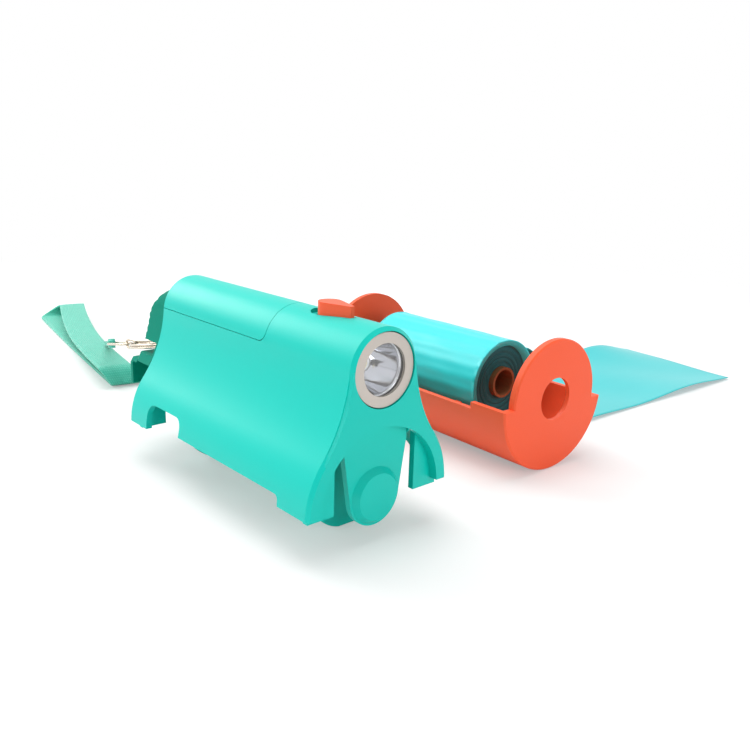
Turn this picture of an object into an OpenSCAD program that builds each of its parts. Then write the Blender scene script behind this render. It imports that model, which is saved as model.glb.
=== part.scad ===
// Waste bag dispenser with a built-in torch and a drop-in roll tray.
// X runs forward along the housing, Y towards the tray, Z up from the floor.
// The origin is the middle of the front roll guide's flat foot.

/* [Housing] */
// Length of the housing
body_len = 99.7; // [96:0.1:120]
// Outer radius of the torch tube on top
torch_r = 11.4; // [11:0.1:13]
// Outer radius of the skirt round the roll
skirt_r = 25; // [24.8:0.1:28]
// Height of the torch axis above the roll axis
torch_rise = 36.4; // [36:0.1:42]
// Radius of the hollow flank between tube and skirt
flank_r = 43; // [38:1:60]
// Wall of the mouldings
wall = 2; // [1.8:0.1:2.2]
// Chamfer round the end faces
edge_cut = 1; // [0.5:0.1:1.4]
// Radius of the arch in each end lip
arch_r = 20.8; // [20.5:0.1:21.5]
// Thickness of each end lip
lip_t = 2.8; // [2.5:0.1:3.5]
// Height of the feet above the roll axis
foot_rise = 0.7; // [0.4:0.1:1.5]
// Length of each foot
foot_len = 13.2; // [11:0.1:16]
// Height of the raised lower edge above the roll axis
edge_rise = 3.8; // [3:0.1:6]
// Corner radius where a foot meets the raised edge
edge_round = 1.5; // [0.5:0.1:2]
// Distance from an end face to its bag notch
notch_at = 12.1; // [11:0.1:14]
// Length of a bag notch
notch_len = 21; // [16:0.5:26]
// Height of a bag notch above the roll axis
notch_top = 9.3; // [7:0.1:12]
// Corner radius of a bag notch
notch_round = 3.6; // [1:0.1:4.5]

/* [End panels and latches] */
// Thickness of the end panels and tongues
panel_t = 1.9; // [1.5:0.1:2.3]
// Half distance between the outer slot edges
slot_out = 14.2; // [13:0.1:15]
// Height of the slots above the roll axis
slot_top = 17; // [15:0.1:18]
// Depth of the panel legs below the roll axis
panel_drop = 1.4; // [0.5:0.1:3]
// Half width of a tongue at the top of its taper
tongue_top_w = 11; // [9.5:0.1:11.6]
// Half width of a tongue at the roll axis, and radius of its end
tongue_end_r = 8.7; // [8.6:0.1:9]
// Radius of the latch button at its base
button_r = 8.2; // [7.6:0.1:8.2]
// Radius of the flat face of the latch button
button_face_r = 6.7; // [5:0.1:7]
// Depth of the button face behind the end face
button_set = 1.2; // [0.8:0.1:1.6]

/* [Roll guides] */
// Outer radius of a roll guide about the roll axis
guide_r = 12.7; // [12:0.1:14]
// Depth of the flat foot cut on each guide
guide_flat = 0.3; // [0.2:0.05:0.6]
// Thickness of a roll guide
guide_t = 2.4; // [2:0.1:3]
// Distance from an end face to the middle of its guide
guide_set = 16; // [14:0.1:17]

/* [Torch] */
// Outer radius of the bezel ring
bezel_r = 10; // [9.6:0.1:10.4]
// Inner radius of the bezel ring
bezel_in = 7.1; // [6.6:0.1:7.6]
// Length of the bezel ring
bezel_len = 5.5; // [5:0.1:5.6]
// Radius of the lens
lens_r = 8.4; // [8:0.1:8.8]
// Thickness of the lens
lens_t = 1; // [0.8:0.1:1.6]
// Length of the reflector
reflector_len = 8.5; // [8:0.1:8.7]
// Wall of the reflector
reflector_t = 0.7; // [0.5:0.1:1]
// Radius of the opening at the back of the reflector
reflector_back = 2.3; // [2:0.1:3]
// Radius of the emitter dome
led_r = 1.5; // [1.2:0.1:1.8]

/* [Battery bay] */
// Radius of the bore that holds the cell
bore_r = 9.4; // [9:0.1:9.6]
// Radius of the cell
cell_r = 7.25; // [7:0.05:7.3]
// Length of the cell without its tip
cell_len = 49.2; // [48:0.1:50]
// Length of the battery cover
cover_len = 61; // [60:0.5:64]
// Height of the cover seam above the torch axis
seam_rise = 1.2; // [0.8:0.1:2]
// Corner radius of the cover
cover_round = 3; // [1:0.1:4]
// Width of the seam
seam_gap = 0.2; // [0.15:0.05:0.4]

/* [Switch] */
// Length of the thumb slider
slider_len = 13; // [11:0.1:14]
// Radius of the round end of the slider
slider_r = 3.3; // [3:0.1:3.8]
// Half width of the slider's blunt tip
slider_tip = 0.6; // [0.4:0.1:1]
// Height of the slider above the housing
slider_h = 3; // [2:0.1:4]
// Distance from the front face to the slider's tip
slider_at = 13.8; // [13:0.1:14.5]
// Travel of the slider
slider_travel = 2.5; // [1.5:0.1:3]
// Depth of the slider's pocket below the top of the tube
pocket_sink = 1.2; // [1:0.1:1.4]

/* [Rear cap] */
// Depth of the ribbed cap behind the housing, up to its bend
cap_len = 10.4; // [9.5:0.1:12]
// Depth of the cap at its top
cap_top_len = 4.7; // [4:0.1:6]
// Height of the bend above the roll axis
cap_bend = 19.1; // [18:0.1:20]
// Bottom of the cap above the roll axis
cap_low = 15.5; // [14:0.1:17]
// Top of the cap above the roll axis
cap_top = 42; // [41:0.1:44]
// Bottom of the ring slot above the roll axis
ring_slot_low = 19.6; // [19.4:0.1:20.5]
// Height of the ring slot
ring_slot_h = 7.8; // [7.4:0.1:8.4]
// Pitch of the grip grooves
groove_pitch = 4.2; // [3.5:0.1:5]
// Radius of the grip grooves
groove_r = 1.6; // [1.2:0.1:2]
// Depth of the grip grooves
groove_depth = 0.7; // [0.4:0.05:0.9]

/* [Tether] */
// Mean radius of the split ring
ring_r = 12; // [11:0.1:12.5]
// Radius of the ring wire
ring_wire = 0.7; // [0.5:0.05:0.8]
// Slope of the ring and links below level, in degrees
tether_slope = 10.6; // [5:0.1:15]
// Distance between the end arcs of the swivel link
swivel_len = 3; // [2:0.1:5]
// Distance between the end arcs of the strap link
clip_len = 10; // [8:0.5:14]
// Inner radius of the end arcs of both links
link_in = 1.9; // [1.8:0.05:2.4]
// Radius of the link wire
link_wire = 0.7; // [0.5:0.05:0.8]
// Radius of the pin that holds the ring
pin_r = 1; // [0.8:0.1:1.2]
// Distance of the pin behind the rear face
pin_back = 5.2; // [5:0.1:6]
// Distance of the pin to the near side of the middle
pin_side = 10; // [9:0.1:10.5]

/* [Strap] */
// Width of the webbing
web_w = 14; // [12:0.5:20]
// Thickness of the webbing
web_t = 1.6; // [1.2:0.1:2]
// Distance between the end bends of the loop
strap_len = 160; // [130:1:190]
// Height of the loop at its near end
strap_h = 10; // [9:0.5:14]
// Height of the loop at its far end
strap_far_h = 8; // [7.5:0.5:9]
// Distance of the near bend behind the rear face
strap_back = 76.3; // [70:0.1:90]
// Distance of the near bend from the housing axis
strap_side = 12; // [8:0.5:20]
// Heading of the strap away from the housing axis, in degrees
strap_turn = 10; // [0:0.5:16]
// Width of the sewn tab
tab_w = 2.4; // [2:0.1:2.6]
// Thickness of the sewn tab
tab_t = 1.4; // [1:0.1:1.6]
// Distance of the tab's sewn end from the near bend
tab_land = 46; // [30:1:60]

/* [Roll tray] */
// Outer radius of the tray
tray_r = 24.9; // [24.7:0.1:27]
// Radius of the upper half of each disc
disc_r = 20.3; // [20:0.1:20.7]
// Thickness of each disc
disc_t = 2.5; // [2.2:0.1:2.7]
// Radius of the button hole
hole_r = 7.25; // [7.1:0.05:7.5]
// Radius of the countersink on the inner side of the button hole
sink_r = 8.5; // [8.3:0.1:9]
// Depth of the disc shoulders below the roll axis
shoulder_drop = 0.3; // [0.2:0.1:1]
// Depth of the tray edge below the roll axis
tray_drop = 2.9; // [2:0.1:4]
// Length of the raised tray edge
raise_len = 15; // [12:0.5:20]
// Distance of the tray axis from the housing axis
tray_y = 81; // [76:0.5:90]
// Distance of the tray's front face behind the housing's front face
tray_back = 4.4; // [0:0.1:10]
// Turn of the tray about its upright, in degrees
tray_turn = -2.3; // [-4:0.1:0]

/* [Bags] */
// Radius of the bag roll
roll_r = 15.7; // [15:0.1:16.2]
// Length of the bag roll
roll_len = 58; // [56:0.5:62]
// Distance from the tray's front face to the roll
roll_at = 23; // [21:0.1:24]
// Outer radius of the card core
core_r = 5.5; // [5.2:0.1:7]
// Wall of the card core
core_t = 0.9; // [0.6:0.1:1.5]
// Length of the bag tail lying behind the tray
tail_len = 126; // [100:1:160]
// Thickness of the bag tail
tail_t = 0.8; // [0.6:0.1:1.2]

/* [Hidden] */

$fn = 96;
// One overrun serves every cut
over = 1;
// Gap between parts that move past each other
run = 0.3;
// Gap between parts that drop in and stay put
fit = 0.1;

front_x = guide_set;
rear_x = front_x - body_len;
mid_x = (front_x + rear_x) / 2;
axis_z = guide_r - guide_flat;
torch_z = axis_z + torch_rise;

// Centre of the flank circle, which touches both the tube and the skirt
flank_z = (pow(skirt_r + flank_r, 2) - pow(torch_r + flank_r, 2) + pow(torch_rise, 2))
    / (2 * torch_rise);
flank_y = sqrt(pow(skirt_r + flank_r, 2) - pow(flank_z, 2));

chamber_r = skirt_r - wall;
panel_r = chamber_r - fit;
slab_x = lip_t + panel_t;

// Latch tongue
tongue_gap = 0.25;
tongue_hold = 0.5;
tongue_arc_r = arch_r + tongue_hold;
tongue_bend_z = 14.8;
tongue_set = 0.15;
end_share = 0.995;
button_z = foot_rise;

// Torch stack, from the front face inwards
bezel_gap = 0.3;
bezel_set = 0.4;
bezel_step = 0.8;
seal_t = 0.6;
lens_x = front_x - bezel_set - bezel_step - lens_t;
reflector_x = lens_x - seal_t - reflector_len;
board_t = 1.2;
board_x = reflector_x - board_t;
board_r = 4.4;
led_base_h = led_r + fit;
led_base_w = 3.2;

// Battery bay, from the rear face inwards
spring_wire = 0.4;
spring_r = 3.6;
spring_turns = 7;
tip_r = 2.7;
tip_len = 1;
contact_t = 0.6;
bulkhead_t = 1.6;
cover_x = rear_x + cover_len;
contact_x = cover_x - bulkhead_t - contact_t;
cell_x = contact_x - fit - tip_len - cell_len;
seam_z = torch_z + seam_rise;
lip_drop = 3;
lip_wall = 0.8;
lip_gap = 0.35;

// Slider and switch
slider_top = torch_z + torch_r + slider_h;
pocket_z = torch_z + torch_r - pocket_sink;
slider_x = front_x - slider_at;
slider_back = slider_x - slider_len;
stem_r = 1.5;
stem_low = 7.2;
switch_l = 8.9;
switch_w = 8;
switch_low = 4.7;
slider_end_x = slider_back + slider_r;

// Rear cap
cap_inset = 0.6;
cap_round = 27;
cap_round_z = cap_top - cap_round;
cap_lean = atan((cap_len - cap_top_len) / (cap_top - cap_bend));
slot_wall = 1;
grooves = 4;
groove_share = 0.6;
groove_low = ring_slot_low + ring_slot_h - cap_bend + groove_share * groove_pitch;
pin_x = rear_x - pin_back;
pin_y = -pin_side;
slot_side = 7.5;

// Tether: places along its own line, which runs to the rear from the pin
ring_z = axis_z + ring_slot_low + ring_slot_h / 2;
coil_bite = 0.05;
coil_rise = ring_wire - coil_bite;
wire_gap = 0.2;
ring_at = ring_r - ring_wire - pin_r - run;
tie_drop = 0.3;
swivel_at = ring_at + ring_r + link_in - ring_wire - wire_gap - tie_drop;
swivel_end = swivel_at + swivel_len + link_in + link_wire;
clip_at = swivel_end + link_in - link_wire - wire_gap;
clip_end = clip_at + clip_len + link_in + link_wire;

// Strap, with the near bend above strap_x, strap_side
strap_x = rear_x - strap_back;
link_mean = link_in + link_wire;
wire_front = link_mean - sqrt(pow(link_in, 2) - pow(tab_w / 2, 2));
eye_r = (wire_front + link_wire) / 2 + wire_gap;
eye_at = clip_end - (wire_front - link_wire) / 2;
tab_nose = 2;
tab_lead = eye_r + tab_t + tab_nose;
lead_at = eye_at + tab_lead;
lead_end = [pin_x - lead_at * cos(tether_slope), pin_y, ring_z - lead_at * sin(tether_slope)];
land_share = tab_land / strap_len;
bend_steps = 16;
land = [
    strap_x - tab_land * cos(strap_turn),
    strap_side + tab_land * sin(strap_turn),
    strap_h + (strap_far_h - strap_h) * land_share + tab_t / 2 + fit
];
tab_to = land - lead_end;
tab_len = norm(tab_to);
tab_yaw = atan2(tab_to.y, tab_to.x);
tab_dip = atan2(-tab_to.z, norm([tab_to.x, tab_to.y]));

// Bags
tray_len = body_len;
raise_drop = 0.6;
cradle_gap = run;
cradle_t = 2.4;
cradle_in = 7;
cradle_low = 6;
rim_cut = 0.5;
tail_gap = run;

// Cylinder whose axis runs forward from x0
module rod_x(x0, len, r0, r1, y = 0, z = 0) {
    translate([x0, y, z])
        rotate([0, 90, 0])
            cylinder(h = len, r1 = r0, r2 = r1);
}

// Flat shape in Y and Z, pushed forward from x0
module push_x(x0, len) {
    translate([x0, 0, 0])
        rotate([90, 0, 90])
            linear_extrude(len)
                children();
}

// Flat shape in X and Z, pushed from y0 towards +Y
module push_y(y0, len) {
    translate([0, y0 + len, 0])
        rotate([90, 0, 0])
            linear_extrude(len)
                children();
}

// Turns an end part of the front into the same part at the rear
module at_rear() {
    translate([mid_x, 0, 0])
        rotate([0, 0, 180])
            translate([-mid_x, 0, 0])
                children();
}

// A slice of the housing's outer form, drawn in by cut0 and cut1 at its ends
module skin(x0, len, cut0 = 0, cut1 = 0) {
    translate([0, 0, axis_z]) {
        rod_x(x0, len, torch_r - cut0, torch_r - cut1, z = torch_rise);
        rod_x(x0, len, skirt_r - cut0, skirt_r - cut1);
        difference() {
            push_x(x0, len)
                polygon([[0, torch_rise], [flank_y, flank_z], [0, 0], [-flank_y, flank_z]]);
            for (side = [-1, 1])
                rod_x(x0 - over, len + 2 * over, flank_r + cut0, flank_r + cut1,
                    side * flank_y, flank_z);
        }
    }
}

// The whole outer form with chamfered ends
module full_skin() {
    skin(rear_x, edge_cut, edge_cut, 0);
    skin(rear_x + edge_cut, body_len - 2 * edge_cut);
    skin(front_x - edge_cut, edge_cut, 0, edge_cut);
}

// Side view of an opening in the lower edge, with rounded upper corners
module gap_shape(x0, x1, top, r) {
    translate([x0, axis_z - skirt_r])
        square([x1 - x0, skirt_r + top - r]);
    translate([x0 + r, axis_z])
        square([x1 - x0 - 2 * r, top]);
    for (x = [x0 + r, x1 - r])
        translate([x, axis_z + top - r])
            circle(r = r);
}

// Lower cuts of the near side; the far side has the same ones turned about
module side_cuts() {
    push_y(-skirt_r - over, skirt_r + over) {
        gap_shape(rear_x + notch_at, rear_x + notch_at + notch_len, notch_top, notch_round);
        gap_shape(rear_x + foot_len, front_x - foot_len, edge_rise, edge_round);
    }
}

// Side view of the battery cover, drawn in by inset
module cover_shape(inset) {
    x1 = cover_x - inset;
    z0 = seam_z + inset;
    difference() {
        translate([rear_x - over, z0])
            square([x1 - rear_x + over, torch_r]);
        translate([x1 - cover_round, z0])
            square([cover_round, cover_round]);
    }
    translate([x1 - cover_round, z0 + cover_round])
        circle(r = cover_round);
}

// Top view of the slider's teardrop, lengthened to the rear by extra and widened by grow
function drop_points(extra = 0, grow = 0) = let (
    r = slider_r + grow,
    lean = asin((slider_r - slider_tip) / (slider_len - slider_r)),
    arc_step = 6,
    rear = [for (a = [90 : arc_step : 270]) [slider_end_x - extra, 0] + r * [cos(a), sin(a)]],
    upper = [slider_end_x, 0] + r * [sin(lean), cos(lean)],
    tip = [slider_x + grow, slider_tip + grow]
) concat(
    [tip, upper], extra > 0 ? [[slider_end_x, r]] : [], rear,
    extra > 0 ? [[slider_end_x, -r]] : [], [[upper.x, -upper.y], [tip.x, -tip.y]]
);

module main_housing() {
    color("turquoise")
    difference() {
        full_skin();
        translate([rear_x - over, -skirt_r - over, axis_z - skirt_r - over])
            cube([body_len + 2 * over, 2 * (skirt_r + over), skirt_r + over + foot_rise]);
        rod_x(rear_x + lip_t, body_len - 2 * lip_t, chamber_r, chamber_r, z = axis_z);
        rod_x(rear_x - over, body_len + 2 * over, arch_r, arch_r, z = axis_z);
        side_cuts();
        at_rear()
            side_cuts();
        cell_bay();
        rod_x(cover_x, front_x - bezel_len - cover_x, bore_r, bore_r, z = torch_z);
        rod_x(front_x - bezel_len - over, bezel_len + 2 * over,
            bezel_r + bezel_gap, bezel_r + bezel_gap, z = torch_z);
        push_y(-skirt_r, 2 * skirt_r)
            cover_shape(0);
        translate([0, 0, pocket_z])
            linear_extrude(pocket_sink + over)
                polygon(drop_points(slider_travel + run, run));
        translate([slider_end_x - slider_travel - stem_r - run, -stem_r - run, torch_z])
            cube([slider_travel + 2 * (stem_r + run), 2 * (stem_r + run), torch_r + over]);
    }
}

// A disc segment behind the front lip with two slots and room for the tongue
module end_panel() {
    difference() {
        rod_x(front_x - slab_x, panel_t, panel_r, panel_r, z = axis_z);
        push_x(front_x - slab_x - over, panel_t + 2 * over)
            translate([0, axis_z]) {
                translate([-skirt_r, -skirt_r])
                    square([2 * skirt_r, skirt_r - panel_drop]);
                slot_shape();
            }
    }
}

// The two slots and the window that the tongue fills
module slot_shape() {
    slot_r = (slot_out - tongue_top_w) / 2;
    half = tongue_top_w + tongue_gap;
    intersection() {
        translate([-half, 0])
            square([2 * half, skirt_r]);
        circle(r = tongue_arc_r + 2 * tongue_gap);
    }
    translate([-slot_out, -skirt_r])
        square([2 * slot_out, skirt_r + slot_top - slot_r]);
    for (side = [-1, 1])
        translate([side * (slot_out - slot_r), slot_top - slot_r])
            circle(r = slot_r);
}

// Front view of a tongue: straight at the top, tapered, with a round end
module tongue_shape() {
    low = button_z;
    drop = tongue_bend_z - low;
    lean = atan((tongue_top_w - tongue_end_r) / drop);
    edge_y = end_share * tongue_end_r * cos(lean);
    edge_z = low - tongue_end_r * sin(lean);
    translate([0, low])
        circle(r = tongue_end_r);
    intersection() {
        polygon([
            [-tongue_top_w, skirt_r],
            [tongue_top_w, skirt_r],
            [tongue_top_w, tongue_bend_z],
            [edge_y, edge_z],
            [-edge_y, edge_z],
            [-tongue_top_w, tongue_bend_z]
        ]);
        circle(r = tongue_arc_r);
    }
}

// Tongue and round button that snap into the tray's end disc
module end_latch() {
    face_x = front_x - lip_t - tongue_set;
    button_x = front_x - button_set;
    push_x(face_x - panel_t, panel_t)
        translate([0, axis_z])
            tongue_shape();
    rod_x(face_x, button_x - face_x, button_r, button_face_r, z = axis_z + button_z);
}

// Web with a round lower end that keeps the roll in the middle of the chamber
module roll_guide() {
    difference() {
        intersection() {
            rod_x(-guide_t / 2, guide_t, chamber_r - fit, chamber_r - fit, z = axis_z);
            push_x(-guide_t / 2, guide_t)
                translate([0, axis_z]) {
                    circle(r = guide_r);
                    translate([-guide_r, 0])
                        square([2 * guide_r, chamber_r]);
                }
        }
        translate([-guide_t, -guide_r, -guide_r])
            cube([2 * guide_t, 2 * guide_r, guide_r]);
    }
}

// Trough for the cell, wider at the top for the cover's lips
module cell_bay() {
    bay_x = rear_x + lip_t;
    bay_len = cover_len - lip_t - bulkhead_t;
    rod_x(bay_x, bay_len, cell_r + run, cell_r + run, z = torch_z);
    intersection() {
        rod_x(bay_x, bay_len, bore_r, bore_r, z = torch_z);
        translate([rear_x, -bore_r, seam_z - lip_drop - run])
            cube([cover_len, 2 * bore_r, 2 * bore_r]);
    }
}

module front_end_panel() {
    color("mediumturquoise")
        end_panel();
}

module rear_end_panel() {
    color("mediumturquoise")
        at_rear()
            end_panel();
}

module front_latch() {
    color("turquoise")
        end_latch();
}

module rear_latch() {
    color("turquoise")
        at_rear()
            end_latch();
}

module front_roll_guide() {
    color("lightseagreen")
        roll_guide();
}

module rear_roll_guide() {
    color("lightseagreen")
        at_rear()
            roll_guide();
}

// Upper shell over the cell, closed at the rear, with lips that locate it
module battery_cover() {
    in_x = rear_x + lip_t + run;
    lip_y = bore_r - lip_gap - lip_wall;
    lip_len = cover_len - lip_t - bulkhead_t - 2 * run - cover_round;
    color("turquoise") {
        difference() {
            intersection() {
                union() {
                    skin(rear_x, edge_cut, edge_cut, 0);
                    skin(rear_x + edge_cut, cover_len);
                }
                push_y(-skirt_r, 2 * skirt_r)
                    cover_shape(seam_gap);
            }
            rod_x(rear_x + lip_t, cover_len - lip_t - bulkhead_t, bore_r, bore_r, z = torch_z);
        }
        difference() {
            intersection() {
                rod_x(in_x, lip_len, bore_r + wall / 2, bore_r + wall / 2, z = torch_z);
                translate([in_x, -lip_y - lip_wall, seam_z - lip_drop])
                    cube([lip_len, 2 * (lip_y + lip_wall), lip_drop + bore_r / 2]);
            }
            translate([in_x - over, -lip_y, seam_z - lip_drop - over])
                cube([lip_len + 2 * over, 2 * lip_y, lip_drop + bore_r + over]);
        }
    }
}

// Ribbed block on the rear face that leans in towards its top, with a slot for the ring
module rear_cap() {
    color("teal")
    difference() {
        intersection() {
            skin(rear_x - cap_len, cap_len, cap_inset, cap_inset);
            rod_x(rear_x - cap_len - over, cap_len + 2 * over, cap_round, cap_round,
                z = axis_z + cap_round_z);
            push_y(-skirt_r, 2 * skirt_r)
                translate([rear_x, axis_z])
                    polygon([
                        [0, cap_low],
                        [0, cap_top],
                        [-cap_top_len, cap_top],
                        [-cap_len, cap_bend],
                        [-cap_len, cap_low]
                    ]);
        }
        translate([rear_x - cap_len, -skirt_r, axis_z + cap_bend])
            rotate([0, cap_lean, 0])
                for (i = [0 : grooves - 1])
                    translate([groove_depth - groove_r, 0, groove_low + i * groove_pitch])
                        rotate([-90, 0, 0])
                            cylinder(h = 2 * skirt_r, r = groove_r);
        translate([rear_x - cap_len - over, -skirt_r, axis_z + ring_slot_low])
            cube([cap_len + over - slot_wall, skirt_r + slot_side, ring_slot_h]);
        translate([pin_x, pin_y, axis_z + cap_low - over])
            cylinder(h = ring_slot_low + ring_slot_h - cap_low + over + wall, r = pin_r + fit);
    }
}

module ring_pin() {
    color("silver")
        translate([pin_x, pin_y, axis_z + cap_low + wall / 2])
            cylinder(h = ring_slot_low + ring_slot_h - cap_low + wall / 2, r = pin_r);
}

module switch_slider() {
    stem_z = torch_z + stem_low;
    color("orangered") {
        translate([0, 0, pocket_z + fit])
            linear_extrude(slider_top - pocket_z - fit)
                polygon(drop_points());
        translate([slider_end_x, 0, stem_z])
            cylinder(h = pocket_z + 2 * fit - stem_z, r = stem_r);
    }
}

// Slide switch that fills the top of the bore, with a track for the slider's stem
module switch_body() {
    x0 = slider_end_x - (slider_travel + switch_l) / 2;
    track_y = stem_r + run;
    color("dimgray")
        difference() {
            intersection() {
                rod_x(x0, switch_l, bore_r - fit, bore_r - fit, z = torch_z);
                translate([x0, -switch_w / 2, torch_z + switch_low])
                    cube([switch_l, switch_w, bore_r]);
            }
            translate([slider_end_x - slider_travel - track_y, -track_y, torch_z + stem_low - run])
                cube([slider_travel + 2 * track_y, 2 * track_y, bore_r]);
        }
}

module bezel_ring() {
    x0 = front_x - bezel_len;
    color("lightgray")
    difference() {
        rod_x(x0, bezel_len - bezel_set, bezel_r, bezel_r, z = torch_z);
        rod_x(x0 - over, bezel_len - bezel_set - bezel_step + over,
            lens_r + fit, lens_r + fit, z = torch_z);
        rod_x(x0, bezel_len + over, bezel_in, bezel_in, z = torch_z);
    }
}

module lens() {
    color("white", 0.4)
        rod_x(lens_x, lens_t, lens_r, lens_r, z = torch_z);
}

module lens_seal() {
    seal_r = seal_t / 2;
    color("black")
        translate([lens_x - seal_r, 0, torch_z])
            rotate([0, 90, 0])
                rotate_extrude()
                    translate([lens_r - seal_r, 0])
                        circle(r = seal_r, $fn = 24);
}

// Mirror bowl: a parabola turned about the torch axis
module reflector() {
    steps = 8;
    function bowl(i) = reflector_back
        + (bezel_in - reflector_back) * sqrt(i / steps);
    outer = [for (i = [0 : steps]) [bowl(i) + reflector_t, i * reflector_len / steps]];
    inner = [for (i = [steps : -1 : 0]) [bowl(i), i * reflector_len / steps]];
    color("silver")
        translate([reflector_x, 0, torch_z])
            rotate([0, 90, 0])
                rotate_extrude()
                    polygon(concat(outer, inner));
}

module led_emitter() {
    color("gold") {
        translate([board_x + board_t, -led_base_w / 2, torch_z - led_base_w / 2])
            cube([led_base_h, led_base_w, led_base_w]);
        translate([board_x + board_t + led_base_h, 0, torch_z])
            sphere(r = led_r);
    }
}

module led_board() {
    color("green")
        rod_x(board_x, board_t, board_r, board_r, z = torch_z);
}

module front_contact() {
    color("silver")
        rod_x(contact_x, contact_t, cell_r, cell_r, z = torch_z);
}

module battery_cell() {
    color("slategray") {
        rod_x(cell_x, cell_len, cell_r, cell_r, z = torch_z);
        rod_x(cell_x + cell_len, tip_len, tip_r, tip_r, z = torch_z);
    }
}

// Flat plate with a stack of wire rings that reaches the cell
module contact_spring() {
    plate_x = rear_x + lip_t;
    step = (cell_x - plate_x - contact_t) / spring_turns;
    color("silver") {
        rod_x(plate_x, contact_t, cell_r, cell_r, z = torch_z);
        translate([plate_x + contact_t, 0, torch_z])
            rotate([0, 90, 0])
                rotate_extrude() {
                    for (i = [1 : spring_turns])
                        translate([spring_r, i * step - spring_wire])
                            circle(r = spring_wire, $fn = 24);
                    translate([spring_r - spring_wire / 2, 0])
                        square([spring_wire, cell_x - plate_x - contact_t - spring_wire]);
                }
    }
}

module bag_roll() {
    color("darkturquoise")
        at_tray()
            difference() {
                rod_x(-roll_at - roll_len, roll_len, roll_r, roll_r);
                rod_x(-roll_at - roll_len - over, roll_len + 2 * over, core_r, core_r);
            }
}

// Moves the tray's own frame, front face at zero, to its place on the floor
module at_tray() {
    translate([front_x - tray_back, tray_y, tray_r])
        rotate([0, 0, tray_turn])
            children();
}

module roll_core() {
    color("peru")
        at_tray()
            difference() {
                rod_x(-roll_at - roll_len, roll_len, core_r, core_r);
                rod_x(-roll_at - roll_len - over, roll_len + 2 * over,
                    core_r - core_t, core_r - core_t);
            }
}

// Puts the ring's own line, running to the rear, in its place at the pin
module on_tether(at = 0) {
    translate([pin_x, pin_y, ring_z])
        rotate([0, -tether_slope, 0])
            translate([-at, 0, 0])
                children();
}

// Ring of wire in the XY plane
module hoop(r, wire) {
    rotate_extrude()
        translate([r, 0])
            circle(r = wire, $fn = 32);
}

// Half of a hoop, open towards +X
module bend(r, wire) {
    intersection() {
        hoop(r, wire);
        translate([-r - 2 * wire, -r - 2 * wire, -2 * wire])
            cube([r + 2 * wire, 2 * r + 4 * wire, 4 * wire]);
    }
}

// Oval wire link from its front arc at zero to its rear arc at -len
module wire_link(len) {
    rotate([0, 0, 180])
        bend(link_mean, link_wire);
    translate([-len, 0, 0])
        bend(link_mean, link_wire);
    for (side = [-1, 1])
        rod_x(-len, len, link_wire, link_wire, y = side * link_mean);
}

module split_ring() {
    color("silver")
        on_tether(ring_at)
            for (side = [-1, 1])
                translate([0, 0, side * coil_rise])
                    hoop(ring_r, ring_wire);
}

module swivel_link() {
    color("silver")
        on_tether(swivel_at)
            rotate([90, 0, 0])
                wire_link(swivel_len);
}

module strap_link() {
    color("silver")
        on_tether(clip_at)
            wire_link(clip_len);
}

// Narrow sewn strip with an eye round the link's rear wire, sewn to the loop at its end
module strap_tab() {
    color("mediumturquoise") {
        on_tether(eye_at)
            difference() {
                union() {
                    translate([-tab_lead, -tab_w / 2, -tab_t / 2])
                        cube([tab_lead, tab_w, tab_t]);
                    rotate([90, 0, 0])
                        cylinder(h = tab_w, r = eye_r + tab_t, center = true);
                }
                rotate([90, 0, 0])
                    cylinder(h = tab_w + 2 * over, r = eye_r, center = true);
            }
        translate(lead_end)
            rotate([0, tab_dip, tab_yaw])
                translate([-tab_w / 2, -tab_w / 2, -tab_t / 2])
                    cube([tab_len + tab_w / 2, tab_w, tab_t]);
    }
}

// Points round c at distance r, from angle a0 to angle a1
function arc_points(c, r, a0, a1) = [
    for (i = [0 : bend_steps])
        let (a = a0 + (a1 - a0) * i / bend_steps)
            c + r * [cos(a), sin(a)]
];

// Side view of a loop round two bends that stand on the floor
module loop_shape(inset) {
    r0 = strap_h / 2;
    r1 = strap_far_h / 2;
    near = [0, r0];
    far = [-strap_len, r1];
    heading = atan2(r1 - r0, -strap_len);
    open = acos((r0 - r1) / norm(far - near));
    polygon(concat(
        arc_points(near, r0 - inset, heading + open, heading - open + 360),
        arc_points(far, r1 - inset, heading - open, heading + open)
    ));
}

// Webbing loop that lies flat behind the housing
module wrist_strap() {
    color("mediumturquoise")
        translate([strap_x, strap_side, 0])
            rotate([0, 0, -strap_turn])
                difference() {
                    push_y(-web_w / 2, web_w)
                        loop_shape(0);
                    push_y(-web_w / 2 - over, web_w + 2 * over)
                        loop_shape(web_t);
                }
}

// Round form of the tray with small chamfers at both ends
module tray_round(r) {
    rod_x(-tray_len, rim_cut, r - rim_cut, r);
    rod_x(-tray_len + rim_cut, tray_len - 2 * rim_cut, r, r);
    rod_x(-rim_cut, rim_cut, r, r - rim_cut);
}

// Turns a piece of the tray's front into the same piece at its rear
module tray_rear() {
    translate([-tray_len, 0, 0])
        rotate([0, 0, 180])
            children();
}

// What is cut away above the near edge, up to its raised stretch
module near_edge_cut() {
    translate([-tray_len - over, -tray_r - over, -tray_drop])
        cube([tray_len - raise_len + over, tray_r + over, 2 * tray_r]);
    translate([-raise_len - over, -tray_r - over, -raise_drop])
        cube([raise_len + 2 * over, tray_r + over, 2 * tray_r]);
}

// Button hole of the front disc, opened towards the inside
module button_hole() {
    rod_x(-disc_t - over, disc_t + 2 * over, hole_r, hole_r);
    rod_x(-disc_t - fit, disc_t / 2, sink_r, hole_r);
}

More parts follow.
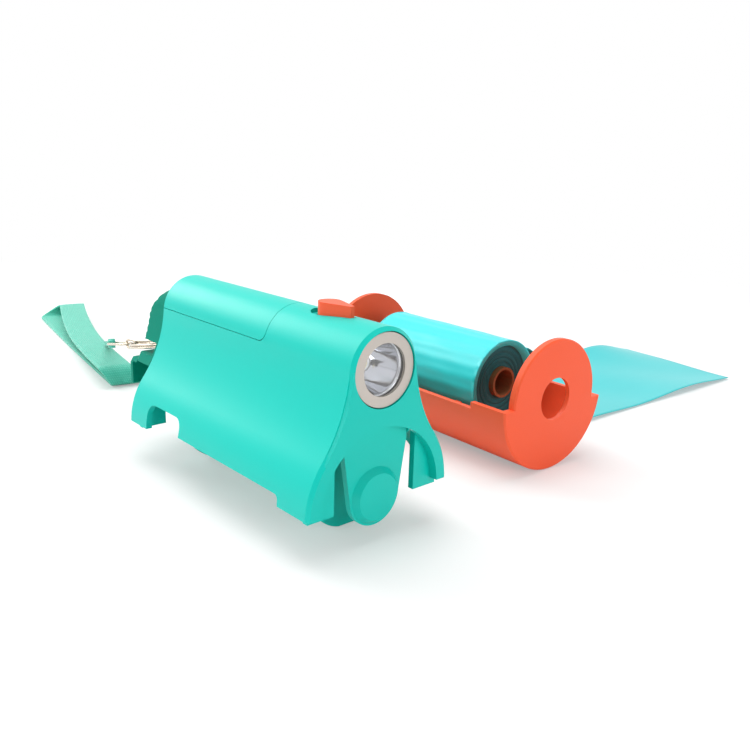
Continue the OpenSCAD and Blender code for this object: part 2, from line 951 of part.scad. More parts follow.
// Trough with an end disc at each end and two low cradles for the roll
module roll_tray() {
    color("orangered")
    at_tray()
        difference() {
            union() {
                difference() {
                    tray_round(tray_r);
                    rod_x(disc_t - tray_len, tray_len - 2 * disc_t, tray_r - wall, tray_r - wall);
                    near_edge_cut();
                    tray_rear()
                        near_edge_cut();
                }
                difference() {
                    tray_round(disc_r);
                    rod_x(disc_t - tray_len, tray_len - 2 * disc_t, tray_r, tray_r);
                }
                difference() {
                    for (x = [-roll_at - cradle_in, -roll_at - roll_len + cradle_in])
                        rod_x(x - cradle_t / 2, cradle_t, tray_r - wall / 2, tray_r - wall / 2);
                    rod_x(-tray_len, tray_len, roll_r + cradle_gap, roll_r + cradle_gap);
                    translate([-tray_len, -tray_r, -cradle_low])
                        cube([tray_len, 2 * tray_r, 2 * tray_r]);
                }
            }
            button_hole();
            tray_rear()
                button_hole();
        }
}

// Points of a strip of even thickness along a bent line
function strip(p, t) = let (
    n = len(p) - 1,
    side = [for (i = [0 : n - 1]) let (d = p[i + 1] - p[i]) [-d.y, d.x] / norm(d)],
    at = [for (i = [0 : n]) let (
        a = side[max(i - 1, 0)],
        b = side[min(i, n - 1)]) (a + b) / (1 + a * b)]
) concat(
    [for (i = [0 : n]) p[i] + at[i] * t / 2],
    [for (i = [n : -1 : 0]) p[i] - at[i] * t / 2]
);

// Loose film that leaves the roll, drops over the far edge and lies on the floor
module bag_tail() {
    leave = 48;
    roll_out = roll_r + tail_gap + tail_t;
    rim = tray_r + tail_gap + tail_t;
    low = tail_t / 2 - tray_r;
    line = [
        roll_out * [sin(leave), cos(leave)],
        [rim - wall, tail_t + tail_gap + tail_t / 2 - tray_drop],
        [rim + wall, tail_t / 2 - 2 * tray_drop],
        [rim + tray_r / 2, low],
        [rim + tray_r / 2 + tail_len, low]
    ];
    color("darkturquoise")
        at_tray()
            push_x(-roll_at - roll_len, roll_len)
                polygon(strip(line, tail_t));
}

main_housing();
front_end_panel();
rear_end_panel();
front_latch();
rear_latch();
front_roll_guide();
rear_roll_guide();
battery_cover();
rear_cap();
ring_pin();
switch_slider();
switch_body();
bezel_ring();
lens_seal();
lens();
reflector();
led_emitter();
led_board();
front_contact();
battery_cell();
contact_spring();
split_ring();
swivel_link();
strap_link();
strap_tab();
wrist_strap();
roll_tray();
bag_roll();
roll_core();
bag_tail();
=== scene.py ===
# %% [markdown]
# # A bag dispenser with a torch, dressed for its portrait
#
# The object is a turquoise housing with a torch on top, an orange tray that carries a roll of
# thin bags, and a wrist strap on a small ring.  Its hard parts come from the CAD model, already
# in place, in metres.  This lesson gives them their finishes, and builds the soft things that a
# CAD solid only stands in for: the webbing, the wound film and the loose end of a bag.  It also
# builds finer forms of a few hard parts: the torch's bowl, the grip cap, the ring and the links.

# %% Load the frame
import math

import bpy
import numpy as np
from mathutils import Matrix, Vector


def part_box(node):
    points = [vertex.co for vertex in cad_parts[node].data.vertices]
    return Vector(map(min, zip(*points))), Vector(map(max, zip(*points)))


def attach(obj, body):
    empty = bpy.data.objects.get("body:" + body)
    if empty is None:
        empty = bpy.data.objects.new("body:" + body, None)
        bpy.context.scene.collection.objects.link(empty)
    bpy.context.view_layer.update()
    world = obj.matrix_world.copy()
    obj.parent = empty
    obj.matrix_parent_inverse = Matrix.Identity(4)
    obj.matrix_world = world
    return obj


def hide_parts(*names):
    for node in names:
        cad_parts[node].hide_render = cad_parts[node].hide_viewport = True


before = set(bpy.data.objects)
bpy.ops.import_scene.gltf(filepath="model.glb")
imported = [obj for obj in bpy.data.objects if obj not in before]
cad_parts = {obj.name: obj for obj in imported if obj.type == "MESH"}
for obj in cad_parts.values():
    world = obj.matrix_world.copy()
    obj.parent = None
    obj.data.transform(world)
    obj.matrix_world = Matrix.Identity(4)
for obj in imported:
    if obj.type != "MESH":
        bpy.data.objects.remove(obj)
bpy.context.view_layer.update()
MM = 0.001

# %% [markdown]
# ## Colours, nodes and meshes
#
# Colours are listed as sRGB hex values, the way a paint program shows them, but a shader
# works in linear light.  One function does that conversion for every colour here.  Another adds
# a node, sets it and links it in a single call, so that each material reads as a short list.
# A third turns rows of points into a quad mesh, which is how every soft piece is made.

# %% Colour converter
SRGB_KNEE, SRGB_LOW, SRGB_SHIFT, SRGB_POWER = 0.04045, 12.92, 0.055, 2.4


def linear(hex_colour):
    """An sRGB hex colour as linear RGBA."""
    parts = [int(hex_colour[i:i + 2], 16) / 255 for i in (1, 3, 5)]
    return (*[p / SRGB_LOW if p <= SRGB_KNEE
              else ((p + SRGB_SHIFT) / (1 + SRGB_SHIFT)) ** SRGB_POWER for p in parts], 1.0)


# %% Node helper
def add(material, kind, settings=None, **links):
    """Adds a node, sets its properties or sockets, and links sockets by name or by in0, in1."""
    node = material.node_tree.nodes.new(kind)
    for name, value in (settings or {}).items():
        if isinstance(name, str) and hasattr(node, name):
            setattr(node, name, value)
        else:
            node.inputs[name].default_value = value
    for name, source in links.items():
        key = int(name[2:]) if name[:2] == "in" and name[2:].isdigit() else name.replace("_", " ")
        material.node_tree.links.new(node.inputs[key], source)
    return node


def new_material(name, base, roughness, metallic=0.0, **sockets):
    """A material with one Principled shader, whose plain values are set on its own sockets."""
    material = bpy.data.materials.new(name)
    material.use_nodes = True
    shader = material.node_tree.nodes["Principled BSDF"]
    shader.inputs["Base Color"].default_value = linear(base)
    shader.inputs["Roughness"].default_value = roughness
    shader.inputs["Metallic"].default_value = metallic
    for key, value in sockets.items():
        shader.inputs[key.replace("_", " ")].default_value = value
    return material, shader


def feed(material, shader, socket, source):
    """Links a finished chain of nodes into the shader."""
    material.node_tree.links.new(shader.inputs[socket], source)


# %% Mesh from rows of points
def lay_grid(name, rows, close_u=False, close_v=False, uv=None):
    """A smooth quad mesh through rows of points, given in millimetres in the row frame."""
    rows = np.asarray(rows, float)
    n, m = rows.shape[:2]
    faces = []
    for i in range(n if close_u else n - 1):
        for j in range(m if close_v else m - 1):
            a, b = (i + 1) % n, (j + 1) % m
            faces.append((i * m + j, a * m + j, a * m + b, i * m + b))
    mesh = bpy.data.meshes.new(name)
    mesh.from_pydata((rows.reshape(-1, 3) * MM).tolist(), [], faces)
    if uv is not None:
        layer = mesh.uv_layers.new(name="uv")
        flat = np.asarray(uv, float).reshape(-1, 2)
        for loop in mesh.loops:
            layer.data[loop.index].uv = flat[loop.vertex_index]
    mesh.polygons.foreach_set("use_smooth", [True] * len(mesh.polygons))
    mesh.update()
    piece = bpy.data.objects.new(name, mesh)
    bpy.context.scene.collection.objects.link(piece)
    return piece


# %% [markdown]
# ## The camera
#
# The camera stands low at the torch end and looks along the housing.  Its place and lens come
# from lines measured in the picture: the long edges give the directions, and the round torch and
# the tray's disc give the distances.  The heading, dip and tilt are turned into three axes here,
# so that no rotation order can go wrong.

# %% Place the camera
EYE = (161.81, -134.09, 103.57)
HEADING, DIP, TILT = (math.radians(a) for a in (138.22, 15.799, 1.68))
LENS, FILM = 38.51, 36.0

ahead = np.array([math.cos(HEADING) * math.cos(DIP), math.sin(HEADING) * math.cos(DIP),
                  -math.sin(DIP)])
level = np.array([math.sin(HEADING), -math.cos(HEADING), 0.0])
upward = np.cross(level, ahead)
right = math.cos(TILT) * level + math.sin(TILT) * upward
upward = math.cos(TILT) * upward - math.sin(TILT) * level

camera_data = bpy.data.cameras.new("camera")
camera_data.lens = LENS
camera_data.sensor_width = camera_data.sensor_height = FILM
camera_data.clip_start, camera_data.clip_end = 0.01, 20.0
camera = bpy.data.objects.new("camera", camera_data)
bpy.context.scene.collection.objects.link(camera)
pose = np.eye(4)
pose[:3, 0], pose[:3, 1], pose[:3, 2], pose[:3, 3] = right, upward, -ahead, np.array(EYE) * MM
camera.matrix_world = Matrix(pose.tolist())
bpy.context.scene.camera = camera
print("camera looks along", np.round(ahead, 3))

# %% [markdown]
# ## Floor and light
#
# The picture was taken on a white table under large soft lamps.  The floor is pale and matt, and
# fades to plain white away from the object for the camera alone, so no edge of a table shows.
# The shadow stays real, because the near floor is a matt surface, though for the camera a fixed
# share of white glow is painted over it, which lightens the shadow evenly.  Four lamps light the
# object: a big one above, one beside it, one behind for the long soft highlights on the flank
# and the top, and one ahead for the torch end.

# %% Floor
# The last number on the next line is the share of white glow painted for the camera over the near
# floor and its shadow.
FLOOR_HALF, FADE_FROM, FADE_TO, NEAR_PAINTED_GLOW = 4.0, 0.26, 0.52, 0.35
floor_material, floor_shader = new_material("matt table", "#f6f6f6", 0.9)
where = add(floor_material, "ShaderNodeTexCoord")
spread = add(floor_material, "ShaderNodeVectorMath", {"operation": "LENGTH"},
             in0=where.outputs["Object"])
fade = add(floor_material, "ShaderNodeMapRange",
           {"interpolation_type": "SMOOTHSTEP", "From Min": FADE_FROM, "From Max": FADE_TO,
            "To Min": NEAR_PAINTED_GLOW},
           Value=spread.outputs["Value"])
seen = add(floor_material, "ShaderNodeLightPath")
share = add(floor_material, "ShaderNodeMath", {"operation": "MULTIPLY"},
            in0=fade.outputs["Result"], in1=seen.outputs["Is Camera Ray"])
white = add(floor_material, "ShaderNodeEmission", {"Strength": 1.0})
floor_mix = add(floor_material, "ShaderNodeMixShader", None, in0=share.outputs["Value"],
                in1=floor_shader.outputs["BSDF"], in2=white.outputs["Emission"])
floor_out = floor_material.node_tree.nodes["Material Output"]
floor_material.node_tree.links.new(floor_out.inputs["Surface"], floor_mix.outputs["Shader"])

bpy.ops.mesh.primitive_plane_add(size=2 * FLOOR_HALF, location=(-0.06, 0.06, -0.0002))
floor = bpy.context.object
floor.name = "table_top"
floor.data.materials.append(floor_material)


# %% Lamps and surroundings
def soft_lamp(name, place, aim, size, power):
    """A square area lamp at a place, turned towards a point, both in metres."""
    data = bpy.data.lights.new(name, "AREA")
    data.shape, data.size, data.energy = "SQUARE", size, power
    lamp = bpy.data.objects.new(name, data)
    bpy.context.scene.collection.objects.link(lamp)
    back = np.array(place, float) - np.array(aim, float)
    back /= np.linalg.norm(back)
    side = np.cross((0, 0, 1), back)
    side /= np.linalg.norm(side)
    turn = np.eye(4)
    turn[:3, 0], turn[:3, 1], turn[:3, 2], turn[:3, 3] = side, np.cross(back, side), back, place
    lamp.matrix_world = Matrix(turn.tolist())
    return lamp


CENTRE = (-0.06, 0.03, 0.03)
soft_lamp("lamp above", (-0.25, 0.10, 0.95), CENTRE, 0.9, 8.0)
soft_lamp("lamp beside", (-0.15, -0.85, 0.40), CENTRE, 0.5, 2.3)
soft_lamp("lamp behind", (-1.05, -0.25, 0.60), CENTRE, 0.6, 6.5)
soft_lamp("lamp ahead", (0.95, 0.10, 0.35), CENTRE, 0.45, 3.0)

AMBIENT = 0.36
world = bpy.data.worlds.new("white room")
world.use_nodes = True
bpy.context.scene.world = world
room = world.node_tree.nodes["Background"]
room.inputs["Color"].default_value = linear("#ffffff")
ray = world.node_tree.nodes.new("ShaderNodeLightPath")
level_of = world.node_tree.nodes.new("ShaderNodeMapRange")
level_of.inputs["To Min"].default_value = 1.0
level_of.inputs["To Max"].default_value = AMBIENT
world.node_tree.links.new(level_of.inputs["Value"], ray.outputs["Is Diffuse Ray"])
world.node_tree.links.new(room.inputs["Strength"], level_of.outputs["Result"])
bpy.context.scene.view_settings.view_transform = "Standard"

# %% [markdown]
# ## Moulded ABS
#
# The housing, the tray and the thumb slider are injection-moulded ABS.  The steel moulds were
# lightly spark-eroded, which leaves a fine even grain: highlights turn soft and broad instead of
# sharp.  ABS has an IOR of about 1.53.  The grain is about a quarter of a millimetre, so a noise
# texture in object space is scaled to that, and only tilts the surface a little.  A second, much
# larger noise moves the roughness, as handling polishes some places more than others.

# %% Make the moulded plastics
GRAIN_MM, PATCH_MM, PLASTIC_GLOSS = 0.25, 9.0, 0.25


def moulded(name, base, deep, roughness, grain=0.1, gloss=PLASTIC_GLOSS):
    """Moulded ABS with a fine grain; deep is the colour in the hollows of the grain."""
    material, shader = new_material(name, base, roughness, IOR=1.53,
                                    Specular_IOR_Level=gloss)
    place = add(material, "ShaderNodeTexCoord")
    fine = add(material, "ShaderNodeTexNoise", {"Scale": 1 / (GRAIN_MM * MM), "Detail": 2.0},
               Vector=place.outputs["Object"])
    patch = add(material, "ShaderNodeTexNoise", {"Scale": 1 / (PATCH_MM * MM), "Detail": 3.0},
                Vector=place.outputs["Object"])
    tone = add(material, "ShaderNodeMix", {"data_type": "RGBA"}, in0=fine.outputs["Fac"])
    tone.inputs[6].default_value = linear(deep)
    tone.inputs[7].default_value = linear(base)
    feed(material, shader, "Base Color", tone.outputs[2])
    rub = add(material, "ShaderNodeMapRange",
              {"To Min": roughness - 0.05, "To Max": roughness + 0.05},
              Value=patch.outputs["Fac"])
    feed(material, shader, "Roughness", rub.outputs["Result"])
    bump = add(material, "ShaderNodeBump", {"Strength": grain, "Distance": GRAIN_MM * MM / 2},
               Height=fine.outputs["Fac"])
    feed(material, shader, "Normal", bump.outputs["Normal"])
    return material


TEAL = moulded("moulded ABS, turquoise", "#00cabc", "#00c1b2", 0.40)
TEAL_DEEP = moulded("moulded ABS, deep teal", "#008a74", "#007e69", 0.5, gloss=0.05)
ORANGE = moulded("moulded ABS, orange", "#fa6038", "#f25831", 0.42)
BLACK = moulded("moulded nylon, black", "#16181a", "#101214", 0.5)
print("plastics:", TEAL.name, "|", TEAL_DEEP.name, "|", ORANGE.name)

# %% [markdown]
# ## Metals and the torch's optics
#
# The bezel is a turned aluminium ring with a fine-blasted face, flat and warm grey.  The ring
# and the links are nickel-plated steel wire, bright but a little yellow.  The reflector is a
# plastic bowl with a vacuum-coated mirror.  Metals keep the default IOR; their colour does the
# work.  The lens is clear polycarbonate, and lets the camera see the bowl behind it.

# %% Make the metals
def metal(name, base, roughness, grit_mm, depth):
    """A metal with a fine surface of the given grit."""
    material, shader = new_material(name, base, roughness, 1.0)
    place = add(material, "ShaderNodeTexCoord")
    grit = add(material, "ShaderNodeTexNoise", {"Scale": 1 / (grit_mm * MM), "Detail": 4.0},
               Vector=place.outputs["Object"])
    rub = add(material, "ShaderNodeMapRange",
              {"To Min": roughness * 0.8, "To Max": roughness * 1.25}, Value=grit.outputs["Fac"])
    feed(material, shader, "Roughness", rub.outputs["Result"])
    bump = add(material, "ShaderNodeBump", {"Strength": depth, "Distance": grit_mm * MM / 4},
               Height=grit.outputs["Fac"])
    feed(material, shader, "Normal", bump.outputs["Normal"])
    return material


BEZEL = metal("blasted aluminium", "#c4bdb6", 0.55, 0.2, 0.12)
NICKEL = metal("nickel-plated steel", "#cfc4b4", 0.22, 0.6, 0.08)
MIRROR = metal("vacuum-coated mirror", "#d9dbe0", 0.06, 2.5, 0.02)

# %% Make the lens, the emitter and the small inner finishes
CLEAR, clear_shader = new_material("clear polycarbonate", "#ffffff", 0.03, IOR=1.58, Alpha=0.10)
DOME, dome_shader = new_material("phosphor under clear silicone", "#e8dca0", 0.12, IOR=1.41)
dome_place = add(DOME, "ShaderNodeTexCoord")
dome_noise = add(DOME, "ShaderNodeTexNoise", {"Scale": 1 / (0.8 * MM)},
                 Vector=dome_place.outputs["Object"])
dome_tone = add(DOME, "ShaderNodeMix", {"data_type": "RGBA"}, in0=dome_noise.outputs["Fac"])
dome_tone.inputs[6].default_value = linear("#f4efd0")
dome_tone.inputs[7].default_value = linear("#d8c878")
feed(DOME, dome_shader, "Base Color", dome_tone.outputs[2])

BOARD = moulded("solder resist, green", "#1d6b38", "#175a2e", 0.35, 0.05)
SEAL = moulded("moulded rubber, black", "#141414", "#0e0e0e", 0.7, 0.3)
SLEEVE = moulded("shrink sleeve, grey", "#4a4f57", "#41464e", 0.3, 0.03)

# %% [markdown]
# ## Finishes for the CAD nodes
#
# A CAD node whose shape is right stays, and only gets a better material.  The table below is the
# whole assignment.  Flat faces stay flat and round ones are smooth, because the CAD mesh already
# carries its own normals.

# %% Assign them
FINISH = {
    TEAL: ["main_housing", "front_end_panel", "rear_end_panel", "front_latch", "rear_latch",
           "front_roll_guide", "rear_roll_guide", "battery_cover"],
    ORANGE: ["switch_slider", "roll_tray"],
    BLACK: ["switch_body"],
    BEZEL: ["bezel_ring"],
    NICKEL: ["ring_pin", "front_contact", "contact_spring"],
    CLEAR: ["lens"],
    DOME: ["led_emitter"],
    BOARD: ["led_board"],
    SEAL: ["lens_seal"],
    SLEEVE: ["battery_cell"],
}
for material, names in FINISH.items():
    for name in names:
        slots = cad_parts[name].material_slots
        for slot in slots:
            slot.material = material
print("finished nodes:", sum(len(names) for names in FINISH.values()))

# %% [markdown]
# ## The reflector bowl
#
# The real bowl is a smooth parabola with a mirror coat.  The CAD solid has eight straight steps,
# which a mirror would show at once, so a finer bowl takes its place, in the same space.  A
# mirror shows its surroundings, and in a white room it would look like paper.  The picture shows
# grey and black streaks, which are the dark parts of the studio.  Two dark cards, seen by
# reflections only, give the bowl those streaks.

# %% Build the bowl
bowl_low, bowl_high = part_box("reflector")
bowl_axis = (bowl_low + bowl_high) / 2 / MM
bowl_len = (bowl_high.x - bowl_low.x) / MM
BOWL_RIM, BOWL_BACK, BOWL_WALL, BOWL_LEAD = 7.1, 2.3, 0.6, 0.5
BOWL_STEPS, BOWL_TURNS = 36, 144


def bowl_radius(t):
    return BOWL_BACK + (BOWL_RIM - BOWL_BACK) * math.sqrt(t)


spots = [(k / BOWL_STEPS) ** 1.5 for k in range(BOWL_STEPS + 1)]
profile = [(bowl_low.x / MM + t * bowl_len, bowl_radius(t)) for t in spots]
profile += [(x, r + BOWL_WALL) for x, r in reversed(profile)]
turns = np.linspace(0, 2 * math.pi, BOWL_TURNS, endpoint=False)
profile[BOWL_STEPS] = (bowl_high.x / MM + BOWL_LEAD, BOWL_RIM)
profile[BOWL_STEPS + 1] = (bowl_high.x / MM + BOWL_LEAD, BOWL_RIM + BOWL_WALL)
bowl = lay_grid("reflector_bowl", [
    [(x, bowl_axis.y + r * math.cos(a), bowl_axis.z + r * math.sin(a)) for x, r in profile]
    for a in turns], close_u=True, close_v=True)
bowl.data.materials.append(MIRROR)
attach(bowl, "housing")
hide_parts("reflector")
print("bowl length in mm:", round(bowl_len, 2))

# %% Two dark cards for the mirror alone
CARD_BLACK, card_shader = new_material("black card", "#050505", 0.9)
for name, place, turn, size in (("card_right", (0.34, 0.16, 0.10), 60, (0.16, 0.34)),
                                ("card_left", (0.22, -0.34, 0.12), -62, (0.12, 0.30))):
    bpy.ops.mesh.primitive_plane_add(size=1.0, location=place,
                                     rotation=(math.radians(90), 0, math.radians(turn + 90)))
    card = bpy.context.object
    card.name = name
    card.scale = (size[0], size[1], 1.0)
    card.data.materials.append(CARD_BLACK)
    card.visible_camera = card.visible_diffuse = card.visible_shadow = False
    card.visible_transmission = False

# %% [markdown]
# ## The grip cap on the rear end
#
# Behind the housing sits a moulded cap of a deeper teal, with fine scallops for the thumb, a slot
# for the ring and a thin hooked lip below.  The CAD block has its width, its slot and its lean.
# The dressed cap adds the bulge of its back, the fine scallops and the lip.  It is made of closed
# shells, each a stack of plan outlines.  Their width follows the housing's own section, except at
# the lip, which is straight-sided.  The depths of its back are read from its edge in the picture.

# %% Width of the housing's section
REAR_X, AXIS_Z, TORCH_Z = -83.7, 12.4, 48.8
TORCH_R, SKIRT_R, FLANK_R, FLANK_Y, FLANK_UP = 11.4, 25.0, 43.0, 54.2, 41.07
SKIRT_TO, TORCH_FROM = 15.1, 49.78


def half_width(z):
    """Half the width of the housing's outer form at a height."""
    up = z - AXIS_Z
    if z > TORCH_FROM:
        return math.sqrt(max(TORCH_R ** 2 - (z - TORCH_Z) ** 2, 0.1))
    if up < SKIRT_TO:
        return math.sqrt(SKIRT_R ** 2 - up ** 2)
    return FLANK_Y - math.sqrt(FLANK_R ** 2 - (up - FLANK_UP) ** 2)


# %% Build the cap
CAP_LOW, CAP_TOP, CAP_INSET, LAYER_MM = 30.6, 55.3, 0.5, 0.2
SCALLOP_MM, SCALLOP_DEPTH = 2.25, 0.45
CORNER, CORNER_POINTS, CORNER_TURN = 1.6, 7, 15
BACK_AT = ([CAP_LOW, 33.0, 36.5, 41.0, 46.5, 49.5, 52.1, 53.8, CAP_TOP],
           [9.6, 10.2, 10.8, 11.0, 11.0, 9.4, 6.3, 4.5, 1.6])
SLOT_LOW, SLOT_HIGH, SLOT_FAR, SLOT_WALL, SLOT_CORNER, LAP = 33.4, 37.8, 7.5, 1.0, 0.2, 0.1
LIP_LOW, LIP_HIGH, LIP_SIDE, LIP_IN, LIP_OUT, LIP_CORNER = 22.2, 31.2, 18.0, 11.0, 13.0, 0.6
BRIDGE_IN, BRIDGE_T, LIP_UNDER = 8.6, 1.2, 1.0


def back_depth(z):
    """Depth of the cap behind the housing at a height, scallops included."""
    depth = float(np.interp(z, *BACK_AT))
    dip = 1 - abs(math.sin(math.pi * z / SCALLOP_MM))
    return depth - (SCALLOP_DEPTH * dip if z > SLOT_HIGH else 0)


def plan_outline(x_in, x_out, y_low, y_high, corner):
    """A rounded plan outline, flat against the housing and rounded at its back."""
    arcs = [(x_out + corner, y_low + corner, 270), (x_out + corner, y_high - corner, 180)]
    points = [(x_in, y_low)]
    for cx, cy, start in arcs:
        turn = [math.radians(start - CORNER_TURN * k) for k in range(CORNER_POINTS)]
        points += [(cx + corner * math.cos(a), cy + corner * math.sin(a)) for a in turn]
    return points + [(x_in, y_high)]


def cap_shell(heights, x_in, depth_of, low_of, high_of, corner=CORNER):
    """Rows of a closed shell, with its ends drawn together to a middle point."""
    rows = []
    for z in heights:
        outline = plan_outline(x_in, REAR_X - depth_of(z), low_of(z), high_of(z), corner)
        rows.append([(x, y, z) for x, y in outline])
    first, last = (np.tile(np.mean(row, 0), (len(row), 1)).tolist() for row in (rows[0], rows[-1]))
    return [first] + rows + [last]


def side_low(z):
    return -half_width(z) + CAP_INSET


def side_high(z):
    return half_width(z) - CAP_INSET


def layers(low, high):
    """Heights of the plan outlines from low to high."""
    return np.append(np.arange(low, high, LAYER_MM), high)


def lip_low(z):
    return max(side_low(z), -LIP_SIDE)


def lip_high(z):
    return min(side_high(z), LIP_SIDE)


shells = [
    cap_shell(layers(SLOT_HIGH, CAP_TOP), REAR_X, back_depth, side_low, side_high),
    cap_shell(layers(SLOT_LOW - LAP, SLOT_HIGH + LAP), REAR_X, back_depth,
              lambda z: SLOT_FAR, side_high),
    cap_shell(layers(SLOT_LOW - LAP, SLOT_HIGH + LAP), REAR_X, lambda z: SLOT_WALL, side_low,
              lambda z: SLOT_FAR + LAP, SLOT_CORNER),
    cap_shell(layers(CAP_LOW, SLOT_LOW), REAR_X, back_depth, side_low, side_high),
    cap_shell(layers(LIP_HIGH - BRIDGE_T, LIP_HIGH), REAR_X - BRIDGE_IN, lambda z: LIP_OUT,
              lip_low, lip_high, LIP_CORNER),
    cap_shell(layers(LIP_LOW, LIP_HIGH - LIP_UNDER), REAR_X - LIP_IN, lambda z: LIP_OUT,
              lip_low, lip_high, LIP_CORNER),
]
parts = [lay_grid("cap_shell", rows, close_v=True) for rows in shells]
with bpy.context.temp_override(active_object=parts[0], selected_editable_objects=parts,
                               selected_objects=parts):
    bpy.ops.object.join()
cap = parts[0]
cap.name = "grip_cap"
cap.data.polygons.foreach_set("use_smooth", [False] * len(cap.data.polygons))
cap.data.materials.append(TEAL_DEEP)
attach(cap, "housing")
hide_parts("rear_cap")
print("cap faces:", len(cap.data.polygons))

# %% [markdown]
# ## Ring and links
#
# The split ring is one springy wire wound twice, so its two coils lie on each other.  The picture
# shows it nearly edge-on, so its narrow oval is a guess from where it shows.  A short upright link
# joins it to a longer flat one, which carries the strap.  Each is a round wire swept along its own
# middle line.  All of them hang from the cap on one sloping line.

# %% Sweep the wires
PIN, SLOPE = np.array([-88.9, -10.0, 35.9]), math.radians(10.6)
REARWARD = np.array([-math.cos(SLOPE), 0.0, -math.sin(SLOPE)])
ACROSS = np.array([0.0, -1.0, 0.0])
RISE = np.cross(ACROSS, REARWARD)
RISE *= math.copysign(1.0, RISE[2])


def wire(name, points, radius, closed, sides=12):
    """A round wire along points in the row frame."""
    points = np.asarray(points, float)
    if closed:
        flow = np.roll(points, -1, 0) - np.roll(points, 1, 0)
    else:
        flow = np.gradient(points, axis=0)
    flow /= np.linalg.norm(flow, axis=1)[:, None]
    rows = []
    for at, along_wire in zip(points, flow):
        out = np.cross(along_wire, RISE if abs(along_wire @ RISE) < 0.9 else ACROSS)
        out /= np.linalg.norm(out)
        up = np.cross(out, along_wire)
        rows.append([at + radius * (out * math.cos(a) + up * math.sin(a))
                     for a in np.linspace(0, 2 * math.pi, sides, endpoint=False)])
    piece = lay_grid(name, rows, close_u=closed, close_v=True)
    piece.data.materials.append(NICKEL)
    return piece


def oval(start, end, half, side, steps=14):
    """Middle line of an oval link between two distances from the pin."""
    points = []
    for centre, first in ((end - half, -90), (start + half, 90)):
        for k in range(steps + 1):
            a = math.radians(first + 180 * k / steps)
            points.append(PIN + REARWARD * (centre + half * math.cos(a)) + side * half * math.sin(a))
    return points


RING_AT, RING_LONG, RING_WIDE, RING_WIRE, TURNS, RING_STEPS = 10.0, 12.0, 4.0, 0.45, 2, 160
helix = []
for k in range(RING_STEPS + 1):
    a = 2 * math.pi * TURNS * k / RING_STEPS
    lift = (k / RING_STEPS - 0.5) * 2 * RING_WIRE * TURNS
    helix.append(PIN + REARWARD * (RING_AT + RING_LONG * math.cos(a))
                 + ACROSS * RING_WIDE * math.sin(a) + RISE * lift)
ring = wire("split_ring_wire", helix, RING_WIRE, False)
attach(ring, "ring")
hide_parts("split_ring")
SWIVEL_FROM, SWIVEL_TO, SWIVEL_HALF, SWIVEL_WIRE = 20.9, 27.8, 1.5, 0.45
LINK_FROM, LINK_TO, LINK_HALF, LINK_WIRE = 26.6, 41.8, 1.9, 0.5
swivel = wire("swivel_wire", oval(SWIVEL_FROM, SWIVEL_TO, SWIVEL_HALF, RISE), SWIVEL_WIRE, True)
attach(swivel, "links")
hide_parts("swivel_link")
link = wire("strap_link_wire", oval(LINK_FROM, LINK_TO, LINK_HALF, ACROSS), LINK_WIRE, True)
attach(link, "links")
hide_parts("strap_link")
print("ring wire points:", len(helix))

# %% [markdown]
# ## Woven webbing
#
# The strap is polyester webbing, 14 mm wide.  Its face has fine ribs across the width, where the
# weft crosses the warp about every millimetre, and thin lines of warp along it.  Polyester yarn is
# shiny, so the face catches light in a broad sheen.  The colour and the bump both come from two
# wave patterns in the piece's own coordinates, which are in metres along and across the band.
# In the colour the crests of the weave are painted lighter, a painted highlight, and its hollows
# darker, painted shade; a yarn noise adds tone at random.

# %% Make the webbing
WEFT_MM, WARP_MM = 1.0, 0.9
WAVE_UNIT = 2 * math.pi / 20  # width of one band of a wave texture at scale one
WEBBING, web_shader = new_material("woven polyester, teal", "#1fb79c", 0.5, IOR=1.55,
                                   Sheen_Weight=0.5, Sheen_Roughness=0.4)
WEBBING.node_tree.nodes["Principled BSDF"].inputs["Sheen Tint"].default_value = linear("#d8fff4")
web_place = add(WEBBING, "ShaderNodeUVMap", {"uv_map": "uv"})
weft = add(WEBBING, "ShaderNodeTexWave",
           {"bands_direction": "X", "Scale": WAVE_UNIT / (WEFT_MM * MM),
            "Distortion": 0.6, "Detail": 1.0}, Vector=web_place.outputs["UV"])
warp = add(WEBBING, "ShaderNodeTexWave",
           {"bands_direction": "Y", "Scale": WAVE_UNIT / (WARP_MM * MM),
            "Distortion": 0.3}, Vector=web_place.outputs["UV"])
weave = add(WEBBING, "ShaderNodeMath", {"operation": "MULTIPLY"},
            in0=weft.outputs["Fac"], in1=warp.outputs["Fac"])
yarn = add(WEBBING, "ShaderNodeTexNoise", {"Scale": 1 / (4 * MM), "Detail": 4.0},
           Vector=web_place.outputs["UV"])
web_blend = add(WEBBING, "ShaderNodeMath", {"operation": "ADD"},
                in0=weave.outputs["Value"], in1=yarn.outputs["Fac"])
web_share = add(WEBBING, "ShaderNodeMath", {"operation": "MULTIPLY", 1: 0.5},
                in0=web_blend.outputs["Value"])
# Colour of the face: the crests of the weave get the lighter tone, a painted highlight, and its
# hollows the darker one, painted shade; the yarn noise adds tone at random.
weave_painted_light_and_yarn_tone = add(WEBBING, "ShaderNodeMix", {"data_type": "RGBA"}, in0=web_share.outputs["Value"])
weave_painted_light_and_yarn_tone.inputs[6].default_value = linear("#0fa389")
weave_painted_light_and_yarn_tone.inputs[7].default_value = linear("#56d3bb")
feed(WEBBING, web_shader, "Base Color", weave_painted_light_and_yarn_tone.outputs[2])
web_bump = add(WEBBING, "ShaderNodeBump", {"Strength": 0.6, "Distance": 0.25 * MM},
               Height=weave.outputs["Value"])
feed(WEBBING, web_shader, "Normal", web_bump.outputs["Normal"])

